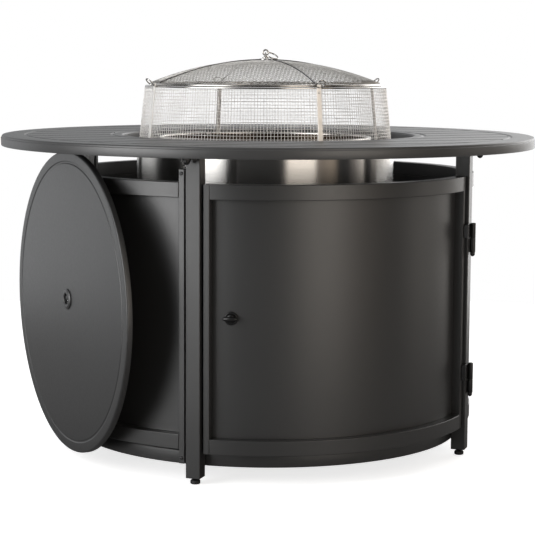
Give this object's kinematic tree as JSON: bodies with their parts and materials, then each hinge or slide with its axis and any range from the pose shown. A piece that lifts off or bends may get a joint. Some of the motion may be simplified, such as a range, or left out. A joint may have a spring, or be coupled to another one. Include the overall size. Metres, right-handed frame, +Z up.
{
  "type": "fire pit table",
  "caption": "Round wood-burning fire pit table on square posts: curved cabinet with a hinged door, drum and bowl with a log grate, domed wire spark screen, and a lid stored on its side.",
  "frame": {"origin": "on the floor, under the middle of the round table", "axes": "+Z up, -Y out of the door, -X out of the side that the lid is stored on"},
  "size_m": [1.0886, 1.0886, 0.8125],
  "materials": {
    "charcoal": "charcoal powder coat, fine satin texture",
    "top_charcoal": "charcoal powder coat, fine satin texture",
    "black": "satin black",
    "rubber": "matt",
    "stainless": "bright rolled stainless sheet",
    "screen_steel": "bright stainless wire",
    "bowl_steel": "heat-tinted stainless",
    "cast_grate": "matt black cast iron"
  },
  "bodies": {
    "stand": {"table_top": "top_charcoal", "under_plate": "charcoal", "post_fl": "charcoal", "post_fr": "charcoal", "post_br": "charcoal", "post_bl": "charcoal", "top_bracket_fl": "black", "top_bracket_fr": "black", "top_bracket_br": "black", "top_bracket_bl": "black", "base_ring": "charcoal", "floor_shelf": "charcoal", "frame_left": "charcoal", "frame_back": "charcoal", "frame_right": "charcoal", "panel_left": "charcoal", "panel_back": "charcoal", "panel_right": "charcoal", "hinge_upper_post": "black", "hinge_upper_pin": "black", "hinge_lower_post": "black", "hinge_lower_pin": "black", "drum": "stainless", "drum_support": "black", "bowl_stand": "black", "drawer_rails": "black", "lid_peg": "black"},
    "door": {"door_frame": "charcoal", "door_panel": "charcoal", "hinge_upper_door": "black", "hinge_lower_door": "black", "latch_escutcheon": "black"},
    "latch": {"latch_lever": "black", "latch_cam": "black"},
    "screen": {"screen_base_hoop": "screen_steel", "screen_side_mesh": "screen_steel", "screen_top_ring": "screen_steel", "screen_strip_front": "screen_steel", "screen_strip_right": "screen_steel", "screen_strip_back": "screen_steel", "screen_strip_left": "screen_steel", "screen_handle_front": "screen_steel", "screen_handle_right": "screen_steel", "screen_handle_back": "screen_steel", "screen_handle_left": "screen_steel"},
    "dome": {"dome_mesh": "screen_steel", "dome_frame": "screen_steel", "finial_eye": "screen_steel"},
    "lifting_ring": {"finial_ring": "screen_steel"},
    "lid": {"lid_plate": "charcoal", "lid_grommet": "charcoal"},
    "bowl": {"fire_bowl": "bowl_steel"},
    "grate": {"fire_grate": "cast_grate"},
    "drawer": {"ash_drawer": "charcoal"},
    "front_left_foot": {"foot_fl": "rubber"},
    "front_right_foot": {"foot_fr": "rubber"},
    "back_right_foot": {"foot_br": "rubber"},
    "back_left_foot": {"foot_bl": "rubber"}
  },
  "joints": [
    {"name": "door_hinge", "type": "hinge", "parent": "stand", "child": "door", "pos_m": [0.30368, -0.30795, 0.3], "axis": [0, 0, 1], "range_deg": [0, 110]},
    {"name": "latch_turn", "type": "hinge", "parent": "door", "child": "latch", "pos_m": [-0.23458, -0.32646, 0.315], "axis": [0.5835, 0.8121, 0], "range_deg": [0, 90]},
    {"name": "screen_lift", "type": "slide", "parent": "stand", "child": "screen", "axis": [0, 0, 1], "range_m": [0, 0.25]},
    {"name": "dome_lift", "type": "slide", "parent": "screen", "child": "dome", "axis": [0, 0, 1], "range_m": [0, 0.15]},
    {"name": "lifting_ring_turn", "type": "hinge", "parent": "dome", "child": "lifting_ring", "pos_m": [-0.0054, 0.0026, 0.8043], "axis": [-0.4399, -0.898, 0], "range_deg": [0, 120]},
    {"name": "lid_pull_off", "type": "slide", "parent": "stand", "child": "lid", "axis": [-1, 0, 0], "range_m": [0, 0.1]},
    {"name": "bowl_lift", "type": "slide", "parent": "stand", "child": "bowl", "axis": [0, 0, 1], "range_m": [0, 0.08]},
    {"name": "grate_lift", "type": "slide", "parent": "bowl", "child": "grate", "axis": [0, 0, 1], "range_m": [0, 0.05]},
    {"name": "ash_drawer_slide", "type": "slide", "parent": "stand", "child": "drawer", "axis": [0, -1, 0], "range_m": [0, 0.15]},
    {"name": "front_left_foot_level", "type": "slide", "parent": "stand", "child": "front_left_foot", "axis": [0, 0, -1], "range_m": [0, 0.012]},
    {"name": "front_right_foot_level", "type": "slide", "parent": "stand", "child": "front_right_foot", "axis": [0, 0, -1], "range_m": [0, 0.012]},
    {"name": "back_right_foot_level", "type": "slide", "parent": "stand", "child": "back_right_foot", "axis": [0, 0, -1], "range_m": [0, 0.012]},
    {"name": "back_left_foot_level", "type": "slide", "parent": "stand", "child": "back_left_foot", "axis": [0, 0, -1], "range_m": [0, 0.012]}
  ]
}
